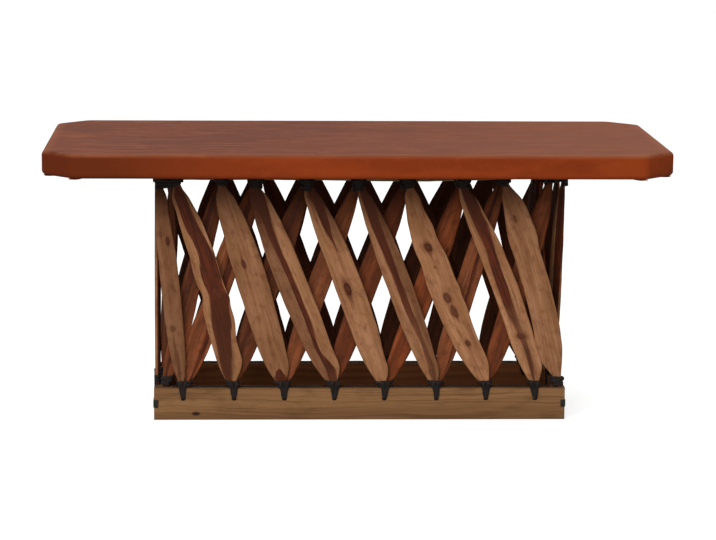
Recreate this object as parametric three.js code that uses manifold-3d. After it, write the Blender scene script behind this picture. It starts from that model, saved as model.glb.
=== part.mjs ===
// An equipale table: a hide-covered top with clipped corners on a lattice of split cedar slats.
// Millimetres, +Z up. The origin is on the floor under the middle of the top.
// +X runs along the table, and -Y is its front.

import * as THREE from 'three';
import { mergeVertices } from 'three/addons/utils/BufferGeometryUtils.js';
import Module from 'manifold-3d';

const wasm = await Module();
wasm.setup();

// Gap kept between pieces that touch
const CLEARANCE = 0.3;

// Top
const TOP_LENGTH = 1020;
const TOP_DEPTH = 510;
const TABLE_HEIGHT = 460;
const TOP_THICKNESS = 39;
const CLIP_LENGTH = 50;
const CLIP_DEPTH = 55;
const CLIP_ROUNDING = 9;
const HIDE_THICKNESS = 2;
const HIDE_EDGE_RADIUS = 7;
const HIDE_FLAP_WIDTH = 42;

// Base frame of boards on edge
const BASE_LENGTH = 684;
const BASE_DEPTH = 228;
const BASE_SHIFT = 8;
const BOARD_HEIGHT = 54;
const BOARD_THICKNESS = 18;
const LASHING_HOLE_DIAMETER = 8;
const LASHING_HOLE_DROP = 18;

// Poles under the top, that the slat heads are lashed to
const POLE_DIAMETER = 24;
const POLE_TIP_DIAMETER = 21;
const POLE_SAG = 4;

// Slats, whose feet stand on the boards
const SLAT_WIDTH = 52;
const SLAT_THICKNESS = 8;
const SLAT_TIP_THICKNESS = 7;
const SLAT_HEAD_RISE = 3;
const FOOT_SETBACK = 1.5;

// Lashings of dark thong, and the straps round the corners of the base
const THONG_THICKNESS = 2.5;
const STRAND_WIDTH = 7;
const FOOT_LASHING_WIDTH = 24;
const FOOT_LASHING_RISE = 9;
const HEAD_LASHING_WIDTH = 33;
const HEAD_LASHING_DROP = 12;
const TAIL_TIP_WIDTH = 6;
const STRAP_HEIGHT = 15;
const STRAP_THICKNESS = 2;
const STRAP_CENTRE_HEIGHT = 27;
const STRAP_FRONT_REACH = 9;
const STRAP_END_REACH = 60;

// Slats and lashings of a long face, left to right seen from outside. Places are shares of its length
// from the middle, a slat's width is a share of SLAT_WIDTH, and its bow is a share of its own width.
const frontLattice = {
  outer: {
    footShares: [-0.433, -0.311, -0.189, -0.064, 0.055, 0.183, 0.308, 0.428, 0.484],
    headShares: [-0.49, -0.455, -0.345, -0.268, -0.141, -0.015, 0.107, 0.225, 0.335],
    widthShares: [0.6, 0.9, 1.02, 1.02, 0.93, 0.84, 1, 0.88, 0.9],
    bowShares: [0, 0.24, 0.05, -0.03, 0.13, 0.08, -0.2, 0.26, 0.2],
  },
  inner: {
    footShares: [-0.474, -0.424, -0.31, -0.184, -0.068, 0.064, 0.188, 0.305],
    headShares: [-0.33, -0.241, -0.12, 0.003, 0.121, 0.257, 0.35, 0.466],
    widthShares: [0.68, 0.86, 0.83, 0.74, 0.8, 0.79, 0.75, 0.77],
    bowShares: [0, -0.06, -0.05, -0.08, -0.1, 0.12, -0.08, 0.12],
  },
};
const backLattice = {
  outer: {
    footShares: [-0.455, -0.322, -0.19, -0.07, 0.061, 0.182, 0.299, 0.418, 0.475],
    headShares: [-0.491, -0.478, -0.346, -0.264, -0.137, -0.015, 0.113, 0.232, 0.333],
    widthShares: [0.4, 0.8, 1.02, 1.02, 0.93, 0.84, 1, 0.88, 0.84],
    bowShares: [0, 0.02, 0, 0.05, -0.03, -0.05, -0.1, -0.07, 0],
  },
  inner: {
    footShares: [-0.468, -0.4255, -0.301, -0.19, -0.066, 0.046, 0.172, 0.31],
    headShares: [-0.34, -0.25, -0.116, 0, 0.121, 0.242, 0.339, 0.479],
    widthShares: [0.68, 0.76, 0.83, 0.8, 0.84, 0.79, 0.66, 0.8],
    bowShares: [0, 0.03, 0, 0.05, 0, 0, 0, 0],
  },
};
const footLashingShares = [-0.478, -0.429, -0.306, -0.184, -0.0625, 0.059, 0.186, 0.3065, 0.427, 0.482];
const headLashingShares = [-0.472, -0.457, -0.336, -0.256, -0.131, -0.01, 0.112, 0.2405, 0.344, 0.457];

// Widths and bows of the slats of an end face, whose places follow from the corners
const endOuterWidthShares = [0.8, 0.84];
const endOuterBowShares = [0.05, 0.04];
const endInnerWidthShares = [0.82, 0.76];
const endInnerBowShares = [0.04, -0.05];

// Outline of a slat: share of its length from the foot, and share of its width there
const slatLengthShares = [0, 0.05, 0.11, 0.19, 0.3, 0.47, 0.64, 0.77, 0.87, 0.94, 1];
const slatWidthShares = [0.26, 0.48, 0.72, 0.87, 0.96, 1, 0.96, 0.82, 0.58, 0.38, 0.28];

// Section of a slat, rounded outside: shares of its half width across and of its thickness outwards
const slatSectionShares = [[-1, 0.1], [-0.55, -0.5], [0.5, -0.5], [1, 0.1], [0.5, 0.5], [-0.55, 0.5]];

const halfTurn = Math.PI;
const quarterTurn = Math.PI / 2;

// Levels and layers worked out from the sizes above
const topUnderside = TABLE_HEIGHT - TOP_THICKNESS;
const coreUnderside = topUnderside + HIDE_THICKNESS + CLEARANCE;
const poleTopLevel = coreUnderside - CLEARANCE;
const poleCentreLevel = poleTopLevel - POLE_DIAMETER / 2;
const poleUndersideLevel = poleTopLevel - POLE_DIAMETER;
const footLevel = BOARD_HEIGHT + CLEARANCE;
const headLevel = poleCentreLevel + SLAT_HEAD_RISE;

// Depths behind the outer face of the base, each to the middle of its layer
const outerFootDepth = FOOT_SETBACK + SLAT_TIP_THICKNESS / 2;
const innerFootDepth = outerFootDepth + SLAT_TIP_THICKNESS + 2 * CLEARANCE;
const outerHeadDepth = SLAT_TIP_THICKNESS / 2;
const poleDepth = SLAT_TIP_THICKNESS + CLEARANCE + POLE_DIAMETER / 2;
const innerHeadDepth = poleDepth + POLE_DIAMETER / 2 + CLEARANCE + SLAT_TIP_THICKNESS / 2;
const headLashingDepth = innerHeadDepth + SLAT_TIP_THICKNESS / 2 + THONG_THICKNESS;

const slatColours = [0xc49a74, 0xa8744f, 0xc9a47d, 0xb98c66, 0xc8a078, 0xb08b62, 0xcba682, 0xb37f5b, 0xc7a57c];

function woodMaterial(colour) {
  return new THREE.MeshStandardMaterial({ color: colour, roughness: 0.72, metalness: 0 });
}

function hideMaterial(colour, roughness) {
  return new THREE.MeshStandardMaterial({ color: colour, roughness, metalness: 0 });
}

// Joins rings of points into one closed body. Each ring turns anticlockwise about the way the rings
// run, has as many points as the others, and the first and last ones are convex and get caps.
function loft(rings) {
  const size = rings[0].length;
  const positions = rings.flat().flatMap((point) => point.toArray());
  const last = (rings.length - 1) * size;
  const faces = [];
  for (let ring = 0; ring < rings.length - 1; ring++) {
    for (let side = 0; side < size; side++) {
      const next = (side + 1) % size;
      const a = ring * size + side;
      const b = ring * size + next;
      faces.push(a, b, b + size, a, b + size, a + size);
    }
  }
  for (let side = 1; side < size - 1; side++) {
    faces.push(0, side + 1, side);
    faces.push(last, last + side, last + side + 1);
  }
  const geometry = new THREE.BufferGeometry();
  geometry.setAttribute('position', new THREE.Float32BufferAttribute(positions, 3));
  geometry.setIndex(faces);
  return geometry;
}

// Turns a geometry into a solid that can be cut and joined, and back again
function toSolid(geometry) {
  const bare = new THREE.BufferGeometry();
  bare.setAttribute('position', geometry.getAttribute('position').clone());
  bare.setIndex(geometry.getIndex());
  const merged = mergeVertices(bare);
  const mesh = new wasm.Mesh({
    numProp: 3,
    vertProperties: new Float32Array(merged.getAttribute('position').array),
    triVerts: new Uint32Array(merged.getIndex().array),
  });
  return new wasm.Manifold(mesh);
}

function toGeometry(solid) {
  const mesh = solid.getMesh();
  const geometry = new THREE.BufferGeometry();
  geometry.setAttribute('position', new THREE.BufferAttribute(mesh.vertProperties, 3));
  geometry.setIndex(new THREE.BufferAttribute(mesh.triVerts, 1));
  return geometry;
}

function joined(geometries) {
  return geometries.map(toSolid).reduce((whole, piece) => whole.add(piece));
}

// A box between two corners with its four long edges along X cut off by a share of its height
function chamferedBar(low, high, cutShare) {
  const cut = cutShare * Math.min(high.z - low.z, high.y - low.y);
  const section = [
    [low.y + cut, low.z], [high.y - cut, low.z], [high.y, low.z + cut], [high.y, high.z - cut],
    [high.y - cut, high.z], [low.y + cut, high.z], [low.y, high.z - cut], [low.y, low.z + cut],
  ];
  return loft([low.x, high.x].map((x) => section.map(([y, z]) => new THREE.Vector3(x, y, z))));
}

// A plain box between two corners
function box(low, high) {
  const size = high.clone().sub(low);
  const geometry = new THREE.BoxGeometry(size.x, size.y, size.z);
  const middle = low.clone().add(high).divideScalar(2);
  return geometry.translate(middle.x, middle.y, middle.z);
}

// The top's outline, a rectangle with clipped corners, drawn in by an inset and rounded at each corner
function topOutline(inset, level) {
  const halfLength = TOP_LENGTH / 2;
  const halfDepth = TOP_DEPTH / 2;
  const clipNormal = new THREE.Vector2(CLIP_DEPTH, CLIP_LENGTH).normalize();
  const clipReach = clipNormal.x * halfLength + clipNormal.y * (halfDepth - CLIP_DEPTH) - inset;
  const x = halfLength - inset;
  const y = halfDepth - inset;
  const clipX = (clipReach - clipNormal.y * y) / clipNormal.x;
  const clipY = (clipReach - clipNormal.x * x) / clipNormal.y;
  const corners = [
    [x, -clipY], [x, clipY], [clipX, y], [-clipX, y], [-x, clipY], [-x, -clipY], [-clipX, -y], [clipX, -y],
  ].map(([across, along]) => new THREE.Vector2(across, along));
  const arcSteps = 3;
  const points = [];
  corners.forEach((corner, index) => {
    const before = corners[(index + corners.length - 1) % corners.length].clone().sub(corner).normalize();
    const after = corners[(index + 1) % corners.length].clone().sub(corner).normalize();
    const halfAngle = before.angleTo(after) / 2;
    const centre = before.clone().add(after).normalize().multiplyScalar(CLIP_ROUNDING / Math.sin(halfAngle));
    const start = before.clone().multiplyScalar(CLIP_ROUNDING / Math.tan(halfAngle)).sub(centre);
    for (let step = 0; step <= arcSteps; step++) {
      const turn = ((halfTurn - 2 * halfAngle) * step) / arcSteps;
      const point = start.clone().rotateAround(new THREE.Vector2(), turn).add(centre).add(corner);
      points.push(new THREE.Vector3(point.x, point.y, level));
    }
  });
  return points;
}

// Insets and levels round a rounded edge, from below or above it
function edgeArc(inset, level, radius, fromTurn, toTurn) {
  const steps = 3;
  return Array.from({ length: steps + 1 }, (_, step) => {
    const turn = fromTurn + ((toTurn - fromTurn) * step) / steps;
    return [inset + radius * (1 - Math.cos(turn)), level + radius * Math.sin(turn)];
  });
}

function topCore() {
  const inset = HIDE_THICKNESS + CLEARANCE;
  const radius = HIDE_EDGE_RADIUS - HIDE_THICKNESS;
  const path = [
    ...edgeArc(inset, coreUnderside + radius, radius, -quarterTurn, 0),
    ...edgeArc(inset, TABLE_HEIGHT - inset - radius, radius, 0, quarterTurn),
  ];
  return loft(path.map(([ring, level]) => topOutline(ring, level)));
}

// The hide goes over the core, down its rim and under it, where its flap ends
function topHide() {
  const inner = HIDE_EDGE_RADIUS - HIDE_THICKNESS;
  const path = [
    ...edgeArc(HIDE_THICKNESS, TABLE_HEIGHT - HIDE_EDGE_RADIUS, inner, quarterTurn, 0),
    ...edgeArc(HIDE_THICKNESS, topUnderside + HIDE_EDGE_RADIUS, inner, 0, -quarterTurn),
    [HIDE_FLAP_WIDTH, topUnderside + HIDE_THICKNESS],
    [HIDE_FLAP_WIDTH, topUnderside],
    ...edgeArc(0, topUnderside + HIDE_EDGE_RADIUS, HIDE_EDGE_RADIUS, -quarterTurn, 0),
    ...edgeArc(0, TABLE_HEIGHT - HIDE_EDGE_RADIUS, HIDE_EDGE_RADIUS, 0, quarterTurn),
  ];
  return loft(path.map(([ring, level]) => topOutline(ring, level)));
}

// A board on edge along local X, with its outer face at y = -reach and a round hole at each place
function board(length, reach, holePlaces) {
  const outline = new THREE.Shape();
  outline.moveTo(-length / 2, 0);
  outline.lineTo(length / 2, 0);
  outline.lineTo(length / 2, BOARD_HEIGHT);
  outline.lineTo(-length / 2, BOARD_HEIGHT);
  outline.closePath();
  for (const place of holePlaces) {
    const hole = new THREE.Path();
    hole.absarc(place, BOARD_HEIGHT - LASHING_HOLE_DROP, LASHING_HOLE_DIAMETER / 2, 0, 2 * halfTurn, true);
    outline.holes.push(hole);
  }
  const settings = { depth: BOARD_THICKNESS, bevelEnabled: false, curveSegments: 4 };
  const geometry = new THREE.ExtrudeGeometry(outline, settings);
  geometry.rotateX(quarterTurn);
  return geometry.translate(0, BOARD_THICKNESS - reach, 0);
}

// A pole along local X from one end to the other, thinner towards its tip and sagging a little.
// grow makes it thicker all round, for cutting what is wrapped about it.
function pole(from, to, reach, grow = 0) {
  const sides = 8;
  const steps = 6;
  const sagSkew = 1.4;
  const rings = [];
  for (let step = 0; step <= steps; step++) {
    const share = step / steps;
    const radius = (POLE_DIAMETER + (POLE_TIP_DIAMETER - POLE_DIAMETER) * share) / 2;
    const sag = POLE_SAG * Math.sin(halfTurn * share ** sagSkew) ** 2;
    const overrun = step === 0 ? -grow : step === steps ? grow : 0;
    const x = from + (to - from) * share + overrun;
    const z = poleTopLevel - radius - sag;
    rings.push(Array.from({ length: sides }, (_, side) => {
      const turn = (2 * halfTurn * side) / sides;
      const y = poleDepth - reach + (radius + grow) * Math.cos(turn);
      return new THREE.Vector3(x, y, z + (radius + grow) * Math.sin(turn));
    }));
  }
  return loft(rings);
}

// A slat in a face's own frame, where -Y is outwards. It stands on a board at its foot and reaches
// the pole at its head. grow makes it larger all round, for cutting the lashings about it.
function slat(spec, reach, grow = 0) {
  const rings = slatLengthShares.map((share, index) => {
    const bow = spec.bowShare * spec.width * Math.sin(halfTurn * share);
    const x = spec.foot + (spec.head - spec.foot) * share + bow;
    const depth = spec.footDepth + (spec.headDepth - spec.footDepth) * share;
    const halfWidth = (spec.width * slatWidthShares[index]) / 2 + grow;
    const swell = Math.sin(halfTurn * share);
    const thickness = SLAT_TIP_THICKNESS + (SLAT_THICKNESS - SLAT_TIP_THICKNESS) * swell + 2 * grow;
    const overrun = index === 0 ? -grow : index === slatLengthShares.length - 1 ? grow : 0;
    const z = footLevel + (headLevel - footLevel) * share + overrun;
    return slatSectionShares.map(([across, outwards]) =>
      new THREE.Vector3(x + across * halfWidth, depth - reach + outwards * thickness, z));
  });
  return loft(rings);
}

// A foot lashing: thong over a board and round the slat feet on it, with its tails drawn down each
// side of the board to a hole, where there is one
function footLashing(place, reach, hasTails) {
  const half = FOOT_LASHING_WIDTH / 2;
  const outer = -reach - CLEARANCE - THONG_THICKNESS;
  const inner = -reach + BOARD_THICKNESS + CLEARANCE + THONG_THICKNESS;
  const top = footLevel + FOOT_LASHING_RISE;
  const wrapCutShare = 0.3;
  const pieces = [chamferedBar(
    new THREE.Vector3(place - half, outer, footLevel),
    new THREE.Vector3(place + half, inner, top),
    wrapCutShare,
  )];
  if (hasTails) {
    const holeLevel = BOARD_HEIGHT - LASHING_HOLE_DROP;
    const tip = TAIL_TIP_WIDTH / 2;
    const tailTop = footLevel + FOOT_LASHING_RISE / 2;
    const tailWaistShare = 0.36;
    for (const [near, far] of [[outer, outer + THONG_THICKNESS], [inner - THONG_THICKNESS, inner]]) {
      pieces.push(loft([
        [holeLevel - tip, tip], [BOARD_HEIGHT - LASHING_HOLE_DROP / 2, half * tailWaistShare + tip / 2],
        [BOARD_HEIGHT, half], [tailTop, half],
      ].map(([level, wide]) => [
        new THREE.Vector3(place - wide, near, level), new THREE.Vector3(place + wide, near, level),
        new THREE.Vector3(place + wide, far, level), new THREE.Vector3(place - wide, far, level),
      ])));
    }
    const pin = LASHING_HOLE_DIAMETER / 2 - 2 * CLEARANCE;
    const pinHalf = pin * Math.SQRT1_2;
    pieces.push(box(
      new THREE.Vector3(place - pinHalf, outer + THONG_THICKNESS / 2, holeLevel - pinHalf),
      new THREE.Vector3(place + pinHalf, inner - THONG_THICKNESS / 2, holeLevel + pinHalf),
    ));
  }
  return pieces;
}

// The strand that runs on along the board from one foot lashing to the next
function footStrand(from, to, reach) {
  const middle = BOARD_THICKNESS / 2 - reach;
  return box(
    new THREE.Vector3(from, middle - STRAND_WIDTH / 2, footLevel),
    new THREE.Vector3(to, middle + STRAND_WIDTH / 2, footLevel + THONG_THICKNESS),
  );
}

// A head lashing: thong round the pole and the slat heads on both sides of it
function headLashing(place, reach) {
  const half = HEAD_LASHING_WIDTH / 2;
  const wrapCutShare = 0.22;
  return chamferedBar(
    new THREE.Vector3(place - half, -reach - THONG_THICKNESS, poleUndersideLevel - HEAD_LASHING_DROP),
    new THREE.Vector3(place + half, headLashingDepth - reach, poleCentreLevel),
    wrapCutShare,
  );
}

// The strand that runs on along the inner side of the pole
function headStrand(from, to, reach) {
  const near = poleDepth + POLE_DIAMETER / 2 + CLEARANCE - reach;
  const low = poleCentreLevel - STRAND_WIDTH;
  return box(
    new THREE.Vector3(from, near, low),
    new THREE.Vector3(to, near + THONG_THICKNESS, low + STRAND_WIDTH / 2),
  );
}

// A strap nailed round a corner of the base, a short way on the long board and further on the end
function cornerStrap(side) {
  const front = -BASE_DEPTH / 2 - CLEARANCE;
  const end = BASE_LENGTH / 2 + CLEARANCE;
  const outline = new THREE.Shape([
    [end - STRAP_FRONT_REACH, front - STRAP_THICKNESS], [end + STRAP_THICKNESS, front - STRAP_THICKNESS],
    [end + STRAP_THICKNESS, front + STRAP_END_REACH], [end, front + STRAP_END_REACH],
    [end, front], [end - STRAP_FRONT_REACH, front],
  ].map(([x, y]) => new THREE.Vector2(side * x, y)));
  const geometry = new THREE.ExtrudeGeometry(outline, { depth: STRAP_HEIGHT, bevelEnabled: false });
  return geometry.translate(0, 0, STRAP_CENTRE_HEIGHT - STRAP_HEIGHT / 2);
}

// What one face of the base holds. Places run left to right seen from outside, from its middle.
function longFace(lattice) {
  const places = (shares) => shares.map((share) => share * BASE_LENGTH);
  const layer = ({ footShares, headShares, widthShares, bowShares }) => ({
    feet: places(footShares), heads: places(headShares), widthShares, bowShares,
  });
  return {
    reach: BASE_DEPTH / 2,
    outer: layer(lattice.outer),
    inner: layer(lattice.inner),
    footLashings: places(footLashingShares),
    headLashings: places(headLashingShares),
  };
}

function endFace() {
  const half = BASE_DEPTH / 2;
  // The far corner is taken up by the next face's lashings, so this face's stand clear of them
  const wrapReach = BOARD_THICKNESS + CLEARANCE + THONG_THICKNESS;
  const farFoot = half - wrapReach - 2 * CLEARANCE - FOOT_LASHING_WIDTH / 2;
  const farHead = half - headLashingDepth - 2 * CLEARANCE - HEAD_LASHING_WIDTH / 2;
  const nearFoot = FOOT_LASHING_WIDTH - half;
  const nearHead = outerHeadDepth + FOOT_SETBACK + HEAD_LASHING_WIDTH / 2 - half;
  const headSpread = HEAD_LASHING_WIDTH / 4;
  return {
    reach: BASE_LENGTH / 2,
    outer: {
      feet: [0, farFoot], heads: [nearHead, headSpread],
      widthShares: endOuterWidthShares, bowShares: endOuterBowShares,
    },
    inner: {
      feet: [nearFoot, 0], heads: [-headSpread, farHead],
      widthShares: endInnerWidthShares, bowShares: endInnerBowShares,
    },
    footLashings: [nearFoot, 0, farFoot],
    headLashings: [nearHead, 0, farHead],
  };
}

function slatSpecs(face) {
  const layer = (name, { feet, heads, widthShares, bowShares }, footDepth, headDepth) =>
    feet.map((foot, index) => ({
      name: `${name}_slat_${index + 1}`,
      foot,
      head: heads[index],
      width: widthShares[index] * SLAT_WIDTH,
      bowShare: bowShares[index],
      footDepth,
      headDepth,
    }));
  return [
    ...layer('outer', face.outer, outerFootDepth, outerHeadDepth),
    ...layer('inner', face.inner, innerFootDepth, innerHeadDepth),
  ];
}

// The faces in turn, each with the corners whose straps its board carries, by side of the face
const faces = [
  { name: 'front', turn: 0, corners: [[-1, 'front_left'], [1, 'front_right']], ...longFace(frontLattice) },
  { name: 'right', turn: quarterTurn, corners: [], ...endFace() },
  { name: 'back', turn: halfTurn, corners: [[-1, 'back_right'], [1, 'back_left']], ...longFace(backLattice) },
  { name: 'left', turn: -quarterTurn, corners: [], ...endFace() },
];

const table = new THREE.Group();
const base = new THREE.Group();
base.position.x = BASE_SHIFT;
table.add(base);

function addMesh(parent, name, geometry, material) {
  const mesh = new THREE.Mesh(geometry, material);
  mesh.name = name;
  parent.add(mesh);
  return mesh;
}

addMesh(table, 'top_hide', topHide(), hideMaterial(0x8a4a26, 0.5));
addMesh(table, 'top_core', topCore(), woodMaterial(0xb08a5e));

// The end poles stop at the long poles, short of the slat head that is inside the near one
const longPoleHalf = BASE_LENGTH / 2 - SLAT_TIP_THICKNESS - CLEARANCE;
const endPoleFrom = innerHeadDepth + SLAT_TIP_THICKNESS / 2 + CLEARANCE - BASE_DEPTH / 2;
const endPoleTo = BASE_DEPTH / 2 - poleDepth - POLE_DIAMETER / 2 - CLEARANCE;

// What the lashings are cut to fit round
const wrapped = [];

for (const face of faces) {
  const isLong = face.name === 'front' || face.name === 'back';
  const group = new THREE.Group();
  group.rotation.z = face.turn;
  base.add(group);

  const boardLength = isLong ? BASE_LENGTH : BASE_DEPTH - 2 * BOARD_THICKNESS - 2 * CLEARANCE;
  const holes = face.footLashings.slice(1, -1);
  addMesh(group, `${face.name}_board`, board(boardLength, face.reach, holes), woodMaterial(0xcfa577));

  const [poleFrom, poleTo] = isLong ? [-longPoleHalf, longPoleHalf] : [endPoleFrom, endPoleTo];
  addMesh(group, `${face.name}_pole`, pole(poleFrom, poleTo, face.reach), woodMaterial(0x9a8062));
  wrapped.push(pole(poleFrom, poleTo, face.reach, CLEARANCE).rotateZ(face.turn));

  slatSpecs(face).forEach((spec, index) => {
    const colour = slatColours[index % slatColours.length];
    addMesh(group, `${face.name}_${spec.name}`, slat(spec, face.reach), woodMaterial(colour));
    wrapped.push(slat(spec, face.reach, CLEARANCE).rotateZ(face.turn));
  });

  for (const [side, corner] of face.corners) {
    addMesh(group, `corner_strap_${corner}`, cornerStrap(side), hideMaterial(0x4a4a40, 0.6));
  }
}

// One thong lashes each long face and then the end face to its right, at the feet and at the heads
const wrappedSolid = wrapped.map(toSolid).reduce((whole, piece) => whole.add(piece));
const thongMaterial = hideMaterial(0x2f2a2a, 0.6);

for (const [first, second] of [[faces[0], faces[1]], [faces[2], faces[3]]]) {
  const footPieces = [];
  const headPieces = [];
  for (const face of [first, second]) {
    const lastFoot = face.footLashings.length - 1;
    face.footLashings.forEach((place, index) => {
      const hasTails = index > 0 && index < lastFoot;
      footPieces.push(...footLashing(place, face.reach, hasTails).map((piece) => piece.rotateZ(face.turn)));
    });
    const feet = footStrand(face.footLashings[0], face.footLashings[lastFoot], face.reach);
    footPieces.push(feet.rotateZ(face.turn));
    face.headLashings.forEach((place) => {
      headPieces.push(headLashing(place, face.reach).rotateZ(face.turn));
    });
    const heads = headStrand(face.headLashings[0], face.headLashings.at(-1), face.reach);
    headPieces.push(heads.rotateZ(face.turn));
  }
  const footThong = joined(footPieces).subtract(wrappedSolid);
  const headThong = joined(headPieces).subtract(wrappedSolid);
  addMesh(base, `foot_lashing_${first.name}_${second.name}`, toGeometry(footThong), thongMaterial.clone());
  addMesh(base, `head_lashing_${first.name}_${second.name}`, toGeometry(headThong), thongMaterial.clone());
}

table.updateMatrixWorld(true);

export default table;
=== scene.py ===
"""An equipale table: a hide-covered top on a lattice of split cedar slats, lashed to a base of
boards.

Metres, +Z up. -Y is the front. Every piece is fitted to the frame's nodes.
"""

import bmesh
import bpy
import numpy as np
from mathutils import Matrix, Vector


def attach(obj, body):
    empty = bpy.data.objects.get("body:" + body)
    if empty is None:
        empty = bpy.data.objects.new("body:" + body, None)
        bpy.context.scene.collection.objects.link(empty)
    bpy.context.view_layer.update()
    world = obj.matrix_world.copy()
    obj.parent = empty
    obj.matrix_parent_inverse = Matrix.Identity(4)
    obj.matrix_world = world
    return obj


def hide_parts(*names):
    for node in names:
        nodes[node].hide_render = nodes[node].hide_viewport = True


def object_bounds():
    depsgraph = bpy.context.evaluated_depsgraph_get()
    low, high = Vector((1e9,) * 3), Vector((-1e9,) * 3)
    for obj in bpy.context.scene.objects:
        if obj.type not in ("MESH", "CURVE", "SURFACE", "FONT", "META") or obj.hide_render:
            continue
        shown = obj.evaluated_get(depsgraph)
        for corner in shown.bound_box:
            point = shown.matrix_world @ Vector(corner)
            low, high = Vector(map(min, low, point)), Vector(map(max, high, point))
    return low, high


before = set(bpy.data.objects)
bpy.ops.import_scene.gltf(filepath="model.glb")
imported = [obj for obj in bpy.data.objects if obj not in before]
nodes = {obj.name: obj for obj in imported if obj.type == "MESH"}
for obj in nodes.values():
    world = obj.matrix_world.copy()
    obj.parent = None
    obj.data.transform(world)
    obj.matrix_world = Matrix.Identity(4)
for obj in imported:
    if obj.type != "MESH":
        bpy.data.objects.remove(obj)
cad_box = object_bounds()
MM = 0.001
TURN = 2 * np.pi


# Frame measures

def node_points(name):
    """All vertices of a node, as one array of places."""
    mesh = nodes[name].data
    places = np.empty(len(mesh.vertices) * 3, np.float32)
    mesh.vertices.foreach_get("co", places)
    return places.reshape(-1, 3).astype(float)


base_low = np.min([node_points(f"{face}_board").min(0) for face in ("front", "left")], 0)
base_high = np.max([node_points(f"{face}_board").max(0) for face in ("back", "right")], 0)
base_middle = (base_low + base_high) / 2
base_half = (base_high - base_low) / 2
board_top = base_high[2]
board_thickness = np.ptp(node_points("front_board")[:, 1])

# Each face seen from outside: the way to its right, the way out, and how far out it stands
faces = {
    "front": ((1, 0), (0, -1), base_half[1]),
    "right": ((0, 1), (1, 0), base_half[0]),
    "back": ((-1, 0), (0, 1), base_half[1]),
    "left": ((0, -1), (-1, 0), base_half[0]),
}


def on_face(face, across, depth, level):
    """A place on a face, from its distance right of the middle, its depth behind the outer face
    and its level: middle + right * across + outwards * (reach - depth)."""
    right, outwards, reach = faces[face]
    out = reach - depth
    return np.stack(np.broadcast_arrays(
        base_middle[0] + right[0] * across + outwards[0] * out,
        base_middle[1] + right[1] * across + outwards[1] * out,
        level,
    ), -1).astype(float)


def from_face(face, places):
    """The other way round: across, depth and level of places in the row frame."""
    right, outwards, reach = faces[face]
    flat = places[:, :2] - base_middle[:2]
    return flat @ np.array(right), reach - flat @ np.array(outwards), places[:, 2]


def by_station(along):
    """The stations along a bar-shaped node, and which of its vertices stand at each."""
    stations = np.unique(np.round(along, 4))
    return stations, [np.abs(along - station) < 2e-4 for station in stations]


# Meshes

def unit(vectors):
    """Vectors along the last axis, each divided by its length."""
    return vectors / np.linalg.norm(vectors, axis=-1, keepdims=True)


def side_by_side(*columns):
    """Arrays spread to one shape and stacked along a new last axis."""
    return np.stack(np.broadcast_arrays(*columns), -1)


def grid_faces(rings, sides, closed_along=False):
    """Quads between each ring and the next, each ring closed round: corner (i, j), its neighbour
    round, and the same two on the next ring."""
    spans = rings if closed_along else rings - 1
    i, j = np.meshgrid(np.arange(spans), np.arange(sides), indexing="ij")
    next_i, next_j = (i + 1) % rings, (j + 1) % sides
    corners = [i * sides + j, i * sides + next_j, next_i * sides + next_j, next_i * sides + j]
    return np.stack(corners, -1).reshape(-1, 4)


def tube(rings, closed_along=False, **marks):
    """A closed skin over an array of rings, (along, round, 3), with flat caps unless it closes on
    itself. marks are numbers for each point, such as its place across and along the grain."""
    along, sides = rings.shape[:2]
    polygons = grid_faces(along, sides, closed_along).tolist()
    if not closed_along:
        last = (along - 1) * sides
        polygons.append(list(range(sides))[::-1])
        polygons.append([last + side for side in range(sides)])
    shell = {"points": rings.reshape(-1, 3), "polygons": polygons}
    shell["marks"] = {
        name: np.broadcast_to(value, (along, sides) + value.shape[2:]).reshape(along * sides, -1)
        for name, value in marks.items()
    }
    spokes = rings - rings.mean(1, keepdims=True)
    step = np.roll(rings, -1, 0) - rings if closed_along else np.gradient(rings, axis=0)
    spin = np.cross(spokes, np.roll(spokes, -1, 1)).mean(1)
    if np.sum(spin * step.mean(1)) < 0:
        shell["polygons"] = [polygon[::-1] for polygon in polygons]
    return shell


def piece(name, shells, finish, slot, *stands_for):
    """One object from one or more closed skins, with their marks as UV maps, for pairs of numbers,
    or attributes, for threes."""
    points, polygons, start = [], [], 0
    for shell in shells:
        points.append(shell["points"])
        polygons += [[start + corner for corner in polygon] for polygon in shell["polygons"]]
        start += len(shell["points"])
    mesh = bpy.data.meshes.new(name)
    mesh.from_pydata(np.concatenate(points).tolist(), [], polygons)
    corner_points = np.empty(len(mesh.loops), np.int32)
    mesh.loops.foreach_get("vertex_index", corner_points)
    for mark in shells[0]["marks"]:
        values = np.concatenate([shell["marks"][mark] for shell in shells])
        if values.shape[1] == 2:
            layer = mesh.uv_layers.new(name=mark)
            layer.data.foreach_set("uv", values[corner_points].astype(np.float32).ravel())
        else:
            layer = mesh.attributes.new(mark, "FLOAT_VECTOR", "POINT")
            layer.data.foreach_set("vector", values.astype(np.float32).ravel())
    mesh.polygons.foreach_set("use_smooth", np.full(len(mesh.polygons), True))
    mesh.materials.append(finish)
    return settle(bpy.data.objects.new(name, mesh), slot, *stands_for)


def dress(thing, finish):
    """Gives an object a finish in place of what it had."""
    thing.data.materials.clear()
    thing.data.materials.append(finish)


def put(thing):
    """Puts an object in the scene."""
    bpy.context.scene.collection.objects.link(thing)
    return thing


def settle(thing, slot, *stands_for):
    """Puts a finished piece in the scene and ties it to the frame. slot is not used."""
    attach(put(thing), "root")
    if stands_for:
        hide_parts(*stands_for)
    return thing


def eased(stations, values, at, spread=0.025):
    """Straight lines between stations, rounded off: the mean of the broken line over a short reach
    on each side of each place."""
    reach = np.linspace(-spread, spread, 9)
    sampled = np.clip(at[:, None] + reach, stations[0], stations[-1])
    return np.interp(sampled, stations, values).mean(1)


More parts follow.
